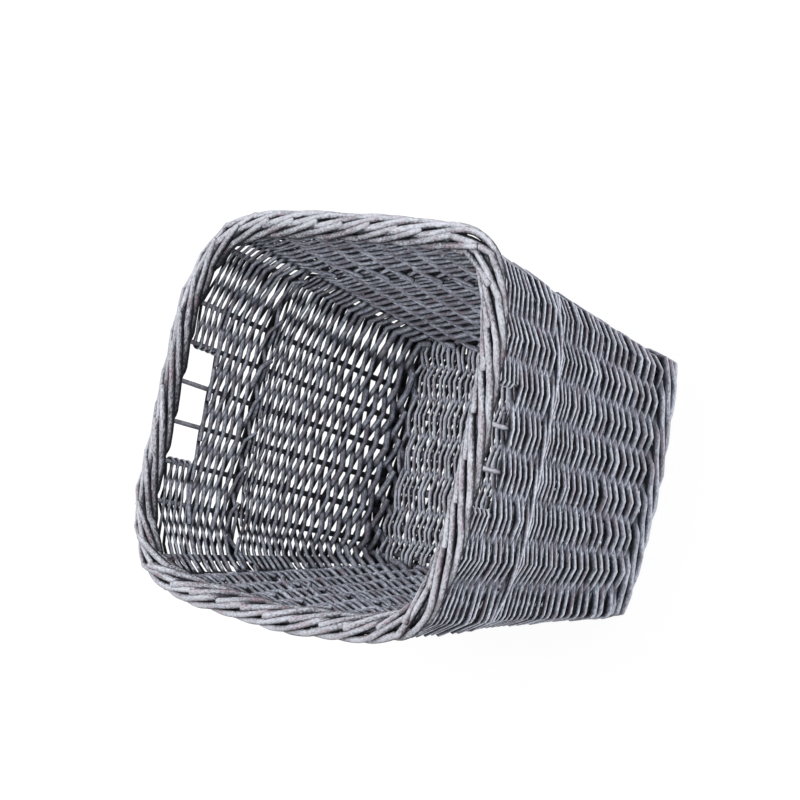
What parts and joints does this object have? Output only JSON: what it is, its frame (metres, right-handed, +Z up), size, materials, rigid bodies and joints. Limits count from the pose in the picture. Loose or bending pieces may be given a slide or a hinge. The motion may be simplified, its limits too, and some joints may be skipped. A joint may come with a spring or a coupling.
{
  "type": "storage basket",
  "caption": "Open rectangular willow storage basket with flared woven walls, a thick plaited border and a hand gap under the border in each end wall.",
  "frame": {"origin": "on the floor, under the middle of the basket", "axes": "+X along the length towards the right end wall, +Y towards the back wall, +Z up through the mouth"},
  "size_m": [0.37, 0.3, 0.22],
  "materials": {
    "stakes": "matt whitewashed grey",
    "base_sticks": "matt whitewashed grey",
    "woven_walls": "matt whitewashed grey",
    "woven_base": "matt whitewashed grey",
    "border": "matt whitewashed pale grey"
  },
  "bodies": {
    "root": {"corner_post_front_right": "stakes", "corner_post_right_back": "stakes", "corner_post_back_left": "stakes", "corner_post_left_front": "stakes", "right_stake_1": "stakes", "right_stake_2": "stakes", "right_stake_3": "stakes", "right_stake_4": "stakes", "right_stake_5": "stakes", "right_stake_6": "stakes", "back_stake_1": "stakes", "back_stake_2": "stakes", "back_stake_3": "stakes", "back_stake_4": "stakes", "back_stake_5": "stakes", "back_stake_6": "stakes", "back_stake_7": "stakes", "back_stake_8": "stakes", "left_stake_1": "stakes", "left_stake_2": "stakes", "left_stake_3": "stakes", "left_stake_4": "stakes", "left_stake_5": "stakes", "left_stake_6": "stakes", "front_stake_1": "stakes", "front_stake_2": "stakes", "front_stake_3": "stakes", "front_stake_4": "stakes", "front_stake_5": "stakes", "front_stake_6": "stakes", "front_stake_7": "stakes", "front_stake_8": "stakes", "base_stick_1": "base_sticks", "base_stick_2": "base_sticks", "base_stick_3": "base_sticks", "base_stick_4": "base_sticks", "base_stick_5": "base_sticks", "base_stick_6": "base_sticks", "base_stick_7": "base_sticks", "foot_wale": "woven_walls", "lower_siding": "woven_walls", "waist_wale": "woven_walls", "upper_siding": "woven_walls", "back_siding": "woven_walls", "front_siding": "woven_walls", "base_weave": "woven_base", "border": "border"}
  },
  "joints": []
}
